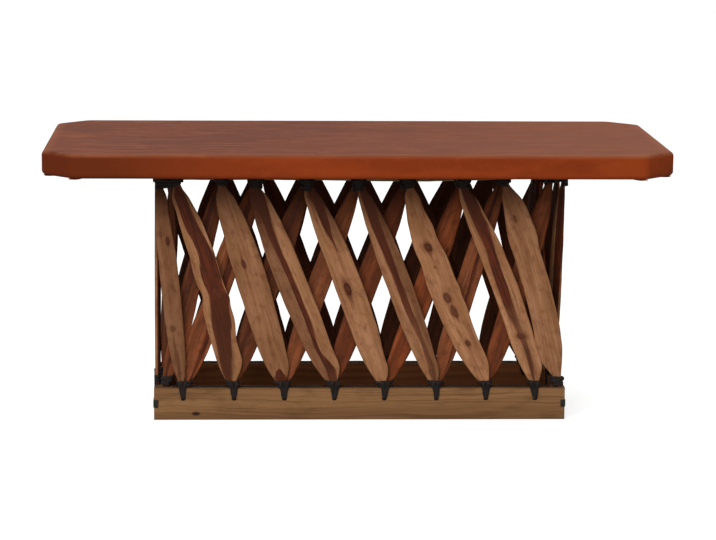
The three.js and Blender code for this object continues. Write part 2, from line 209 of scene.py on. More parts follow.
def waves(at, seed, size, slowest=1.0, count=5):
    """A gentle uneven line: a sum of sines of rising pace and falling height, from a seed."""
    dice = np.random.default_rng(seed)
    pace = slowest * (1 + np.arange(count)) * dice.uniform(0.8, 1.25, count)
    height = dice.uniform(0.5, 1, count) / (1 + np.arange(count))
    shift = dice.uniform(0, TURN, count)
    return size * (height * np.sin(TURN * pace * at[..., None] + shift)).sum(-1) / height.sum()


def smooth_path(controls, count):
    """A curve through control points: a Catmull-Rom spline, which is a cubic from each point to
    the next, with slopes taken from their neighbours."""
    controls = np.asarray(controls, float)
    spans = len(controls) - 1
    at = np.arange(count) * spans / (count - 1)
    first = np.minimum(at.astype(int), spans - 1)
    share = (at - first)[:, None]
    a, b, c, d = (controls[np.clip(first + step, 0, spans)] for step in (-1, 0, 1, 2))
    return 0.5 * (2 * b + (c - a) * share + (2 * a - 5 * b + 4 * c - d) * share**2
                  + (3 * b - a - 3 * c + d) * share**3)


def lengths_along(path):
    """How far along a path each of its points lies."""
    return np.concatenate([[0], np.linalg.norm(np.diff(path, axis=0), axis=1).cumsum()])


def squared(wave, power):
    """A sine or cosine pushed towards 1 and -1, which makes a circle a rounded oblong: its sign
    times its size to a power below 1."""
    return np.sign(wave) * np.abs(wave) ** power


def band(path, outwards, width, thickness, seed, closed=False):
    """A flat thong along a path: a rounded oblong section, its width across the path and its
    thickness along outwards, both swelling and thinning a little on the way."""
    count, sides = len(path), 10
    swelling_every, swelling = 0.03, 0.14
    step = np.roll(path, -1, 0) - np.roll(path, 1, 0) if closed else np.gradient(path, axis=0)
    ahead = unit(step)
    outwards = np.broadcast_to(outwards, path.shape)
    outwards = unit(outwards - (outwards * ahead).sum(1, keepdims=True) * ahead)
    side = np.cross(ahead, outwards)
    run = lengths_along(path)
    total = run[-1] + np.linalg.norm(path[0] - path[-1])
    back_and_forth = np.minimum(run, total - run) if closed else run
    ease = waves(back_and_forth / swelling_every, seed, swelling, 0.6)
    wide = np.broadcast_to(width, count) / 2 * (1 + ease)
    thick = np.broadcast_to(thickness, count) / 2 * (1 - ease * 0.8)
    turn = np.arange(sides) * TURN / sides
    across, out = squared(np.cos(turn), 0.6), squared(np.sin(turn), 0.8)
    rings = (path[:, None] + side[:, None] * (wide[:, None, None] * across[:, None])
             + outwards[:, None] * (thick[:, None, None] * out[:, None]))
    dice = np.random.default_rng(seed)
    grain = side_by_side(wide[:, None] * across, back_and_forth[:, None]) + dice.uniform(0, 9, 2)
    return tube(rings, closed, grain=grain)


def dome(middle, outwards, radius, height):
    """A nail head: a low dome, radius * cos(turn) wide at height * sin(turn), on a short stem."""
    sides, rings, any_other_way = 14, 5, (0.3, 0.5, 0.8)
    outwards = unit(np.array(outwards, float))
    first = unit(np.cross(outwards, any_other_way))
    second = np.cross(outwards, first)
    rise = np.linspace(0, TURN / 4 * 0.94, rings)
    stem_radius, stem_depth = radius * 0.9, height * 0.6
    wide = np.concatenate([[stem_radius], radius * np.cos(rise)])
    high = np.concatenate([[-stem_depth], height * np.sin(rise)])
    turn = np.arange(sides) * TURN / sides
    ring = np.cos(turn)[:, None] * first + np.sin(turn)[:, None] * second
    rings_at = np.asarray(middle) + wide[:, None, None] * ring + high[:, None, None] * outwards
    return tube(rings_at, grain=side_by_side(wide[:, None] * np.cos(turn), high[:, None]))


# Finishes

def shade(red, green, blue):
    """A colour as the screen shows it, from 0 to 255, as the light that it stands for."""
    screen = np.array([red, green, blue]) / 255
    light = np.where(screen <= 0.04045, screen / 12.92, ((screen + 0.055) / 1.055) ** 2.4)
    return (*light.tolist(), 1.0)


def operator(operation, swapped=False):
    """A method that adds a Math node on a reading and the others, or on the others and it."""
    def method(self, *others):
        inputs = (*others, self) if swapped else (self, *others)
        return self.math(operation, *inputs)
    return method


class Reading:
    """An output of a tree's nodes. Arithmetic on it adds the Math nodes that work it out."""

    def __init__(self, maker, socket):
        self.maker, self.socket = maker, socket

    def math(self, operation, *inputs):
        return self.maker.node("ShaderNodeMath", {"operation": operation}, dict(enumerate(inputs)))

    __add__ = __radd__ = operator("ADD")
    __sub__, __rsub__ = operator("SUBTRACT"), operator("SUBTRACT", swapped=True)
    __mul__ = __rmul__ = operator("MULTIPLY")
    __truediv__ = operator("DIVIDE")
    __pow__ = operator("POWER")
    __abs__ = operator("ABSOLUTE")
    at_least = operator("MAXIMUM")


class Nodes:
    """A tree of nodes that ends in one shader."""

    def __init__(self, owner, shader):
        owner.use_nodes = True
        self.tree = owner.node_tree
        self.shader = self.tree.nodes[shader]

    def node(self, kind, settings=None, inputs=None, output=0):
        """A new node of a kind, with its settings and then its sockets' values or links."""
        made = self.tree.nodes.new(kind)
        for name, value in (settings or {}).items():
            setattr(made, name, value)
        self.feed(made, inputs or {})
        return Reading(self, made.outputs[output])

    def feed(self, made, inputs):
        """Sets a node's sockets, each to a value or linked to a reading."""
        for name, value in inputs.items():
            if isinstance(value, Reading):
                self.tree.links.new(value.socket, made.inputs[name])
            else:
                made.inputs[name].default_value = value

    def ray(self, kind):
        """1 for rays of a kind, such as Camera, and 0 for others."""
        return self.node("ShaderNodeLightPath", output=f"Is {kind} Ray")


class Finish(Nodes):
    """A material made of nodes round one Principled shader, with plain sockets set by name."""

    def __init__(self, name, **plain):
        self.material = bpy.data.materials.new(name)
        super().__init__(self.material, "Principled BSDF")
        self.feed(self.shader, {key.replace("_", " "): value for key, value in plain.items()})

    def parts(self, vector):
        """The X, Y and Z of a vector."""
        return [self.node("ShaderNodeSeparateXYZ", {}, {0: vector}, axis) for axis in range(3)]

    def place(self):
        """X, Y and Z of the object's own coordinates."""
        return self.parts(self.node("ShaderNodeTexCoord", output=3))

    def grain(self):
        """Across and along, in metres, from the piece's own map."""
        return self.parts(self.node("ShaderNodeUVMap", {"uv_map": "grain"}))[:2]

    def mark(self, name):
        """The three numbers of one of the piece's attributes."""
        return self.parts(self.node("ShaderNodeAttribute", {"attribute_name": name}, output=1))

    def noise(self, x, y, z=0.0, detail=3.0, roughness=0.55):
        """Noise about 0.5, at a place given in sizes of its coarsest spots."""
        where = self.node("ShaderNodeCombineXYZ", {}, {0: x, 1: y, 2: z})
        return self.node("ShaderNodeTexNoise", {}, {
            "Vector": where, "Scale": 1.0, "Detail": detail, "Roughness": roughness,
        })

    def ramp(self, value, low, high, to_low=0.0, to_high=1.0):
        """A soft step from to_low at low to to_high at high."""
        return self.node("ShaderNodeMapRange", {"interpolation_type": "SMOOTHSTEP"},
                         {0: value, 1: low, 2: high, 3: to_low, 4: to_high})

    def blend(self, share, first, second):
        inputs = {0: share, 6: first, 7: second}
        return self.node("ShaderNodeMix", {"data_type": "RGBA"}, inputs, 2)

    def passing(self, value, low, high, first, second):
        """From a first shade at low to a second at high."""
        return self.blend(self.ramp(value, low, high), shade(*first), shade(*second))

    def coats(self, colour, *coats):
        """Shades over a colour. Each shows more as its reading passes from low to high, up to its
        strength."""
        for value, low, high, strength, coat in coats:
            colour = self.blend(self.ramp(value, low, high) * strength, colour, shade(*coat))
        return colour

    def done(self, colour, roughness, relief, depth):
        """Wires the readings up. relief is a height, and depth its size in metres."""
        bump = self.node("ShaderNodeBump", {}, {
            "Height": relief, "Distance": depth, "Strength": 1.0,
        })
        self.feed(self.shader, {"Base Color": colour, "Roughness": roughness, "Normal": bump})
        return self.material


def cedar_finish():
    """Split cedar: faint streaks that flow round the knots, dark heartwood where the heart mark is
    above zero, and reddish flames above and below each knot. Painted shade darkens the inner split
    face and the sides, makes the inner layer's slats darker and redder, and deepens towards the
    head."""
    wood = Finish("split_cedar", Specular_IOR_Level=0.16)
    across, along = wood.grain()
    reach, knot_depth, bend = wood.mark("knot")
    heart_edge, heart_depth, tone_and_shade = wood.mark("heart")
    inner_face_shade, inner_layer_shade, flame = wood.mark("sides")
    wander = wood.noise(across * 70, along * 22, 2.0) - 0.5
    bent = across + bend + wander * 0.0016
    broad = wood.noise(bent * 75, along * 6, 5.0)
    blotch = wood.noise(across * 90, along * 55, 8.0, 5.0, 0.65)
    streaks = wood.noise(bent * 270, along * 9, 1.0, 5.0, 0.66)
    fibres = wood.noise(bent * 1700, along * 60, 3.0)
    warmth = wood.noise(across * 34, along * 13, 11.0, 2.0)
    colour = wood.coats(
        wood.passing(broad, 0.32, 0.68, (200, 144, 102), (170, 115, 77)),
        (warmth, 0.44, 0.66, 0.4, (160, 114, 66)),
        (blotch, 0.48, 0.7, 0.55, (132, 80, 47)),
        (streaks, 0.5, 0.72, 0.6, (110, 64, 37)),
        (fibres, 0.52, 0.8, 0.25, (104, 62, 38)),
        (streaks, 0.46, 0.3, 0.5, (212, 164, 124)),
    )
    # Painted shade for the slats of the inner layer, which stand behind the outer ones: a darker,
    # redder cedar
    shaded_cedar = wood.coats(
        wood.passing(broad, 0.34, 0.66, (150, 69, 27), (106, 44, 15)),
        (streaks, 0.48, 0.7, 0.5, (74, 32, 14)),
        (blotch, 0.46, 0.7, 0.6, (66, 28, 12)),
        (streaks, 0.46, 0.28, 0.4, (168, 104, 66)),
    )
    colour = wood.blend(inner_layer_shade, colour, shaded_cedar)
    heart_tone = wood.coats(
        wood.passing(streaks, 0.38, 0.62, (112, 48, 21), (64, 27, 13)),
        (blotch, 0.46, 0.7, 0.6, (46, 22, 12)),
    )
    heart = wood.ramp(heart_edge + wander * 0.003 + (streaks - 0.5) * 0.007, -0.001, 0.0014)
    colour = wood.blend(heart * heart_depth, colour, heart_tone)
    flames = wood.ramp(flame + (streaks - 0.5) * 1.2 + wander * 0.6, 0.3, 0.62)
    colour = wood.blend(flames * wood.ramp(flame, 0.03, 0.2) * 0.6, colour, shade(112, 54, 30))
    uneven = reach + wander * 1.4 + (blotch - 0.5) * 1.3
    halo = wood.ramp(uneven, 1.9, 1.0) * knot_depth
    colour = wood.blend(halo * 0.6, colour, shade(116, 60, 34))
    core = wood.ramp(uneven, 1.25, 0.85) * knot_depth
    colour = wood.blend(core, colour, wood.passing(uneven, 0.3, 0.8, (100, 50, 28), (58, 26, 14)))
    # Painted shade on the inner split face and, more faintly, on the slat's sides
    colour = wood.blend(inner_face_shade, colour, wood.passing(broad, 0.3, 0.7, (98, 46, 24), (58, 25, 13)))
    # Darkens by the tone mark: each slat's own tone and darker bands, and painted shade near the
    # head
    colour = wood.blend(tone_and_shade + (blotch - 0.5) * 0.25, colour, shade(76, 36, 17))
    rough = 0.62 + 0.2 * streaks - heart * 0.1
    relief = fibres * 0.3 + streaks * 0.6 + blotch * 0.6 + broad * 0.9 + core * 0.5
    return wood.done(colour, rough, relief, 0.0009)


pine_knot = {"x": -0.2645, "z": 0.0105, "long": 0.0065, "high": 0.0032}


def pine_finish(name, along_x):
    """Bare pine: fine lines along the board that wander and close up, smudges, darker towards the
    foot, and painted shade along the top face and the top and bottom edges. The inner faces are a
    dark reddish brown of painted shade, and the front board has one knot."""
    wood = Finish(name, Specular_IOR_Level=0.15)
    x, y, z = wood.place()
    along, through, reach = (x, y, base_half[1]) if along_x else (y, x, base_half[0])
    middle = base_middle[1] if along_x else base_middle[0]
    sway = wood.noise(along * 4.5, z * 14, through * 9) - 0.5
    lines = wood.noise(along * 3.5, (z + sway * 0.03) * 330, through * 60, 4.0, 0.6)
    bands = wood.noise(along * 1.6, (z + sway * 0.03) * 80, through * 20, 2.0)
    fibres = wood.noise(along * 30, z * 1100, through * 1100, 2.0)
    smudge = wood.noise(along * 16, z * 42, through * 30, 4.0)
    half_height = board_top / 2
    colour = wood.coats(
        wood.passing(bands, 0.35, 0.68, (156, 114, 74), (138, 98, 62)),
        (lines, 0.46, 0.68, 0.65, (106, 70, 40)),
        (fibres, 0.5, 0.8, 0.3, (104, 70, 42)),
        (smudge, 0.5, 0.72, 0.5, (98, 66, 38)),
        # Darker towards the foot
        (z + (smudge - 0.5) * 0.012, 0.02, 0.0, 0.3, (90, 62, 38)),
        # Painted shade on the board's top face and within 2.8 mm of its top and bottom edges
        (abs(z - half_height), half_height - 0.0028, half_height, 0.6, (66, 44, 28)),
    )
    # Painted shade on the inner faces: a dark reddish brown
    inner_face = float(reach - board_thickness)
    inside = wood.ramp(abs(through - float(middle)), inner_face + 0.001, inner_face)
    board_inner_shade = wood.passing(bands, 0.3, 0.7, (144, 88, 50), (116, 68, 37))
    colour = wood.blend(inside, colour, board_inner_shade)
    if along_x:
        far_x = (x - pine_knot["x"]) / pine_knot["long"]
        far_z = (z - pine_knot["z"]) / pine_knot["high"]
        knot = (far_x * far_x + far_z * far_z) ** 0.5 + sway * 2.4
        on_front = wood.ramp(y, -0.1, -0.105)
        colour = wood.blend(wood.ramp(knot, 1.3, 0.6) * on_front, colour, shade(58, 34, 28))
    relief = lines * 0.5 + fibres * 0.4 + smudge * 0.4 + bands * 0.4
    return wood.done(colour, 0.64 + 0.2 * fibres, relief, 0.0007)


def branch_finish(name, along_x):
    """A peeled branch: pale greenish wood with stringy bark left in streaks along it."""
    wood = Finish(name, Specular_IOR_Level=0.3)
    x, y, z = wood.place()
    along, through = (x, y) if along_x else (y, x)
    strips = wood.noise(along * 9, through * 150, z * 150)
    fibres = wood.noise(along * 45, through * 900, z * 900, 2.0)
    colour = wood.coats(
        wood.passing(strips, 0.42, 0.62, (150, 132, 98), (98, 76, 52)),
        (fibres, 0.5, 0.8, 0.4, (70, 52, 36)),
    )
    return wood.done(colour, 0.6 + 0.2 * fibres, strips + fibres * 0.4, 0.0008)


def hide_finish():
    """Tanned hide, dusty where it lies flat on top and a warm saturated brown down the rim, darker
    towards the left end, with fine pores and long rubbed streaks."""
    hide = Finish("tanned_hide", Specular_IOR_Level=0.1)
    x, y, z = hide.place()
    pores = hide.node("ShaderNodeTexVoronoi", {"feature": "F1"}, {
        "Vector": hide.node("ShaderNodeCombineXYZ", {}, {0: x, 1: y, 2: z}), "Scale": 620.0,
    })
    clouds = hide.noise(x * 6, y * 9, z * 25)
    rubbed = hide.noise(x * 13, y * 75, z * 60, 5.0, 0.62)
    mottle = hide.noise(x * 55, y * 55, z * 55, 4.0)
    rim_tone = hide.coats(
        hide.passing(clouds, 0.34, 0.66, (152, 62, 20), (134, 52, 16)),
        (mottle, 0.5, 0.78, 0.4, (160, 72, 28)),
        (x + (clouds - 0.5) * 0.25, -0.12, -0.47, 0.8, (88, 34, 8)),
    )
    top_tone = hide.coats(
        hide.passing(clouds, 0.32, 0.68, (117, 56, 27), (104, 48, 22)),
        (rubbed, 0.48, 0.68, 0.65, (146, 84, 54)),
        (rubbed, 0.47, 0.3, 0.7, (80, 36, 16)),
        (mottle, 0.48, 0.72, 0.4, (96, 44, 22)),
        (x, -0.2, 0.5, 0.5, (142, 78, 48)),
    )
    # Painted highlight along the top's outer edge, with some wear: a lighter band there
    edge_highlight_and_wear = hide.ramp(abs(y), 0.232, 0.251).at_least(hide.ramp(abs(x), 0.487, 0.506))
    top_tone = hide.blend(edge_highlight_and_wear * 0.4, top_tone, shade(156, 92, 60))
    colour = hide.blend(hide.ramp(z, 0.4535, 0.4592), rim_tone, top_tone)
    rough = 0.6 + 0.14 * rubbed + 0.06 * mottle
    relief = pores * 0.3 + mottle * 0.5 + clouds * 0.9
    return hide.done(colour, rough, relief, 0.0005)


def thong_finish(name, dark, worn):
    """Dark thong or strap: creases across it, stringy fibres along it, and worn pale spots."""
    thong = Finish(name, Specular_IOR_Level=0.2)
    across, along = thong.grain()
    strings = thong.noise(across * 900, along * 60, 1.0)
    creases = thong.noise(across * 120, along * 260, 4.0, 2.0)
    patches = thong.noise(across * 60, along * 45, 7.0)
    colour = thong.coats(
        thong.passing(strings, 0.35, 0.7, dark, worn),
        (patches, 0.5, 0.75, 0.6, (20, 14, 12)),
    )
    return thong.done(colour, 0.55 + 0.2 * creases, strings * 0.5 + creases * 0.8, 0.0008)


def iron_finish():
    """Old nail heads: dull iron, rusted in spots."""
    iron = Finish("old_iron", Specular_IOR_Level=0.5)
    x, y, z = iron.place()
    rust = iron.noise(x * 600, y * 600, z * 600)
    colour = iron.passing(rust, 0.42, 0.6, (92, 84, 76), (84, 46, 26))
    iron.feed(iron.shader, {"Metallic": iron.ramp(rust, 0.45, 0.55, 0.8, 0.1)})
    return iron.done(colour, 0.4 + 0.3 * rust, rust, 0.0003)


cedar = cedar_finish()
pine_long, pine_short = pine_finish("pine_long", True), pine_finish("pine_short", False)
branch_long = branch_finish("branch_long", True)
branch_short = branch_finish("branch_short", False)
hide = hide_finish()
thong = thong_finish("dark_thong", (20, 15, 13), (46, 38, 34))
strap = thong_finish("weathered_strap", (24, 28, 22), (50, 60, 46))
iron = iron_finish()


# Top

def top_outline(inset, level, points_per_edge=26):
    """The top's outline drawn in by an inset: straight edges joined by arcs at the eight corners
    of a rectangle whose corners are clipped."""
    low, high = cad_box
    half_x, half_y = (high.x - low.x) / 2, (high.y - low.y) / 2
    clip_x, clip_y, rounding, points_per_arc = 0.05, 0.055, 0.02, 10
    normal = np.array([clip_y, clip_x]) / np.hypot(clip_x, clip_y)
    reach = normal @ (half_x, half_y - clip_y) - inset
    x, y = half_x - inset, half_y - inset
    cut_x, cut_y = (reach - normal[1] * y) / normal[0], (reach - normal[0] * x) / normal[1]
    corners = np.array([(x, -cut_y), (x, cut_y), (cut_x, y), (-cut_x, y),
                        (-x, cut_y), (-x, -cut_y), (-cut_x, -y), (cut_x, -y)])
    before, after = (unit(np.roll(corners, step, 0) - corners) for step in (1, -1))
    half_angle = np.arccos((before * after).sum(1)) / 2
    centres = corners + unit(before + after) * (rounding / np.sin(half_angle))[:, None]
    starts = corners + before * (rounding / np.tan(half_angle))[:, None] - centres
    turn = (np.pi - 2 * half_angle)[:, None] * np.linspace(0, 1, points_per_arc)
    arcs = centres[:, None] + np.stack([
        starts[:, :1] * np.cos(turn) - starts[:, 1:] * np.sin(turn),
        starts[:, :1] * np.sin(turn) + starts[:, 1:] * np.cos(turn),
    ], -1)
    ends, nexts = arcs[:, -1], np.roll(arcs[:, 0], -1, 0)
    share = np.linspace(0, 1, points_per_edge + 2)[1:-1, None]
    edges = ends[:, None] * (1 - share) + nexts[:, None] * share
    flat = np.concatenate([arcs, edges], 1).reshape(-1, 2)
    return np.concatenate([flat, np.full((len(flat), 1), level)], 1)


top_level, underside = cad_box[1].z, float(node_points("top_hide")[:, 2].min())


def hide_top():
    """The hide as one closed skin, rings of the top's outline along a profile of insets and
    levels: from under the middle down the inside of the rim to the flap's edge, then back outside
    and up the rim to the middle of the top, which dips and rises as a product of two waves."""
    thick, radius, flap, dip_depth, bulge = 0.002, 0.007, 0.042, 0.0009, 0.0006
    arc = np.linspace(0, TURN / 4, 8)
    inner = radius - thick
    high, low = top_level - radius, underside + radius
    profile = [(0.2, top_level - thick)]
    profile += [(thick + inner * (1 - np.sin(a)), high + inner * np.cos(a)) for a in arc]
    profile += [(thick + inner * (1 - np.cos(a)), low - inner * np.sin(a)) for a in arc]
    profile.append((flap, underside + thick))
    outside_from = len(profile)
    profile.append((flap + 0.0006, underside + thick / 2))
    profile += [(inset, underside) for inset in (flap, 0.03, 0.018)]
    profile += [(radius * (1 - np.sin(a)), low - radius * np.cos(a)) for a in arc]
    profile += [(0, level) for level in np.linspace(low, high, 9)[1:-1]]
    profile += [(radius * (1 - np.cos(a)), high + radius * np.sin(a)) for a in arc]
    rings = np.array([top_outline(inset, level) for inset, level in profile])
    outside = slice(outside_from, len(profile))
    shrink = np.concatenate([np.linspace(0.985, 0.12, 26), [0.03]])
    rim_top = rings[-1]
    lid = np.stack([rim_top * (share, share, 1) for share in shrink])
    x, y = lid[..., 0], lid[..., 1]
    dip = 0.5 + 0.5 * np.sin(x * 9 + 0.7 * np.sin(y * 14)) * np.cos(y * 17 + 1.1 * np.sin(x * 6))
    fade = np.clip((1 - shrink) / 0.06, 0, 1)[:, None]
    lid[..., 2] -= dip_depth * dip * fade
    rings = np.concatenate([rings, lid])
    round_share = np.arange(rings.shape[1]) / rings.shape[1]
    sway = waves(round_share, 5, bulge, 3, 9)
    depth_share = np.clip((top_level - rings[outside, :, 2]) / 0.03, 0, 1)
    inwards = unit(-rings[outside, :, :2])
    rings[outside, :, :2] += inwards * (np.abs(sway) * depth_share)[..., None]
    return tube(rings)


def hide_laps():
    """Laps of hide under the top at each corner of its outline, where the hide is folded over
    itself, each a thin tongue from just inside the rim to the flap's edge, sagging by a root of a
    half sine."""
    outline, inner = top_outline(0.004, underside), top_outline(0.038, underside)
    per_corner, thickness = len(outline) // 8, 0.0018
    share = np.linspace(0, 1, 16)[:, None]
    sag = 0.0007 + 0.0008 * np.sin(np.pi * share[:, 0]) ** 0.5
    width = 0.011 * (0.45 + 0.55 * np.sin(np.pi * (0.15 + 0.8 * share[:, 0])))
    shells = []
    for corner in range(8):
        for offset, seed in ((2, 3), (5, 8)):
            at = corner * per_corner + offset
            path = outline[at] * (1 - share) + inner[at] * share
            path[:, 2] -= sag
            shells.append(band(path, (0, 0, -1), width, thickness, corner * 7 + seed))
    return shells


def flap_tacks():
    """Tacks through the flap, evenly spaced round the outline near the flap's edge."""
    ring = top_outline(0.03, underside, points_per_edge=60)
    run = lengths_along(ring)
    first, spacing, radius, height = 0.02, 0.068, 0.0042, 0.0014
    places = np.arange(first, run[-1], spacing)
    middles = np.stack([np.interp(places, run, ring[:, axis]) for axis in range(3)], -1)
    return [dome(middle, (0, 0, -1), radius, height) for middle in middles]


piece("hide_cover", [hide_top()], hide, "hide", "top_hide")
piece("hide_laps", hide_laps(), hide, "hide")
piece("hide_tacks", flap_tacks(), iron, None)
dress(nodes["top_core"], pine_long)


# Boards and poles

def softened_board(face, finish):
    """The node's own shape, merged into flat faces, with its edges rounded by a small bevel."""
    board = bpy.data.objects.new(f"{face}_board_planed", nodes[f"{face}_board"].data.copy())
    shape = bmesh.new()
    shape.from_mesh(board.data)
    bmesh.ops.remove_doubles(shape, verts=shape.verts, dist=1e-5)
    bmesh.ops.dissolve_limit(shape, angle_limit=0.02, verts=shape.verts, edges=shape.edges)
    shape.to_mesh(board.data)
    shape.free()
    board.data.polygons.foreach_set("use_smooth", np.full(len(board.data.polygons), False))
    bevel = board.modifiers.new("softened", "BEVEL")
    bevel.width, bevel.segments = 0.0024, 3
    bevel.limit_method, bevel.angle_limit = "ANGLE", 0.9
    dress(board, finish)
    return settle(board, "board_wood", f"{face}_board")


def branch(face, seed, finish):
    """A pole as a branch: the node's own line and thickness, with a radius that wavers as a sum of
    sines, and a few swellings, bell curves along it, where twigs were cut."""
    across, depth, level = from_face(face, node_points(f"{face}_pole"))
    stations, rings = by_station(across)
    middles = np.array([level[ring].mean() for ring in rings])
    radii = np.array([np.ptp(depth[ring]) / 2 for ring in rings])
    spacing, sides = 0.006, 26
    slimness, wavering, swelling = 0.955, 0.035, 0.05
    at = np.linspace(stations[0], stations[-1], 24 + int(np.ptp(stations) / spacing))
    share = (at - at[0]) / (at[-1] - at[0])
    twigs = np.random.default_rng(seed).uniform(0.05, 0.95, 5)
    knobs = np.exp(-((share[:, None] - twigs) / 0.012) ** 2).sum(1)
    size = slimness + wavering * waves(share, seed, 1, 4) + swelling * knobs
    radius = np.interp(at, stations, radii) * size
    turn = np.arange(sides) * TURN / sides
    along = share[:, None]
    lumps = 1 + 0.025 * np.sin(3 * turn + 9 * along) + 0.015 * np.sin(5 * turn - 14 * along)
    reach = np.minimum(radius[:, None] * lumps, np.interp(at, stations, radii)[:, None])
    centre = np.interp(at, stations, middles)[:, None] + reach * np.sin(turn)
    rings = on_face(face, at[:, None], depth.mean() + reach * np.cos(turn), centre)
    return piece(f"{face}_pole_peeled", [tube(rings)], finish, "pole_wood", f"{face}_pole")


for seed, face in enumerate(faces):
    is_long = face in ("front", "back")
    softened_board(face, pine_long if is_long else pine_short)
    branch(face, 31 + seed, branch_long if is_long else branch_short)


# Slats

def of_front(rows):
    """A table by the numbers of the front's outer slats, under the slats' names."""
    return {f"front_outer_slat_{number}": row for number, row in rows.items()}


# Heartwood of the front's outer slats: share of the length from the foot, the stripe's middle and
# half width as shares of half the slat's width, and how dark it is
hearts = of_front({
    1: [(0, 0.1, 0.35, 0.5), (0.1, -0.1, 0.3, 0.5), (0.2, -0.25, 0.2, 0.5),
        (0.26, -0.27, 0.1, 0.4), (0.3, 0, -0.4, 0), (1, 0, -0.4, 0)],
    2: [(0, -0.4, 0.5, 0.7), (0.08, -0.35, 0.55, 0.75), (0.18, -0.08, 0.55, 0.8),
        (0.29, 0.09, 0.63, 0.85), (0.41, 0.3, 0.65, 0.9), (0.52, 0.25, 0.72, 0.95),
        (0.64, 0.35, 0.55, 1), (0.75, 0, 0.6, 1), (0.91, -0.1, 0.7, 1), (1, -0.1, 0.8, 1)],
    3: [(0, 0.1, 1, 0.95), (0.06, 0.1, 0.9, 0.95), (0.09, 0.2, -0.3, 0.9), (1, 0, -0.5, 0)],
    4: [(0, 0.2, 0.8, 0.7), (0.06, 0.35, 0.5, 0.8), (0.1, 0.3, 0.3, 0.85), (0.158, -0.1, 0.2, 0.9),
        (0.33, 0.06, 0.18, 0.95), (0.52, 0.05, 0.2, 1), (0.65, -0.12, 0.22, 1),
        (0.76, -0.15, 0.3, 1), (0.83, -0.1, 0.5, 1), (0.9, 0, 0.8, 1), (1, 0, 0.9, 1)],
    5: [(0, 0, -0.5, 0), (0.55, 0.1, -0.3, 0.8), (0.62, 0.1, 0.02, 0.9), (0.7, 0.05, 0.12, 0.9),
        (0.77, 0.05, 0.38, 0.95), (0.87, 0.4, 0.6, 1), (0.93, 0.3, 0.8, 1), (1, 0.2, 0.9, 1)],
    6: [(0, 0.2, 0.4, 0.6), (0.187, 0.27, 0.22, 0.6), (0.36, 0, 0.29, 0.8),
        (0.53, 0.03, 0.28, 0.9), (0.7, -0.05, 0.4, 0.9), (0.8, -0.05, 0.5, 0.9),
        (0.87, 0.1, 0.75, 1), (1, 0.1, 0.85, 1)],
    8: [(0, 0, 0.2, 0.6), (0.08, 0.1, 0.22, 0.7), (0.19, 0.15, 0.2, 0.7), (0.24, 0.1, 0.2, 0.5),
        (0.3, -0.1, 0.3, 0.55), (0.36, -0.2, 0.33, 0.75), (0.41, -0.2, 0.37, 0.9),
        (0.52, -0.17, 0.37, 1), (0.64, 0.01, 0.39, 1), (0.75, 0.12, 0.55, 1), (0.87, 0.2, 0.7, 1),
        (1, 0.2, 0.8, 1)],
})
# Broad soft darker bands, in the same shares. Down the left of slat 4 the band is painted shade of
# a side facet
darker_bands = of_front({
    2: [(0, -0.3, 0.6, 0.7), (0.2, -0.05, 0.6, 0.7), (0.38, 0.2, 0.6, 0.6), (0.47, 0.2, 0.5, 0.1),
        (1, 0, 0.4, 0.1)],
    4: [(0, -0.3, 0.5, 0.35), (0.2, -0.55, 0.5, 0.3), (0.6, -0.6, 0.5, 0.4), (0.8, -0.5, 0.7, 0.6),
        (1, 0, 1.2, 0.6)],
    5: [(0, 0, 0, 0), (0.6, 0.6, 0.1, 0), (0.75, 0.5, 0.5, 0.5), (1, 0.2, 1.2, 0.6)],
    6: [(0, 0.6, 0.3, 0.3), (0.3, 0.65, 0.3, 0.3), (0.6, 0.5, 0.5, 0.35), (1, 0.4, 0.9, 0.6)],
    8: [(0, 0.2, 0.5, 0.3), (0.25, 0.1, 0.5, 0.3), (0.5, -0.1, 0.5, 0.2), (1, 0.2, 0.8, 0.4)],
})
# Knots: share of the length, share of half the width, half width and half length in mm, darkness
knots = of_front({
    1: [(0.683, 0.28, 2.8, 6, 0.9), (0.277, -0.25, 4, 5, 0.5)],
    2: [(0.43, 0.45, 8, 7, 0.5)],
    3: [(0.577, -0.2, 3, 6.5, 0.7)],
    5: [(0.462, -0.15, 5.5, 12, 0.9)],
    7: [(0.654, -0.08, 6.5, 8, 0.85), (0.563, 0, 2.5, 3, 0.6), (0.42, 0.03, 5.5, 7.5, 0.75),
        (0.355, 0.13, 5, 11, 0.7), (0.207, 0.1, 4.5, 5.5, 0.7)],
    8: [(0.24, 0, 10, 5, 0.5)],
    9: [(0.79, -0.15, 2.6, 6, 0.5)],
})
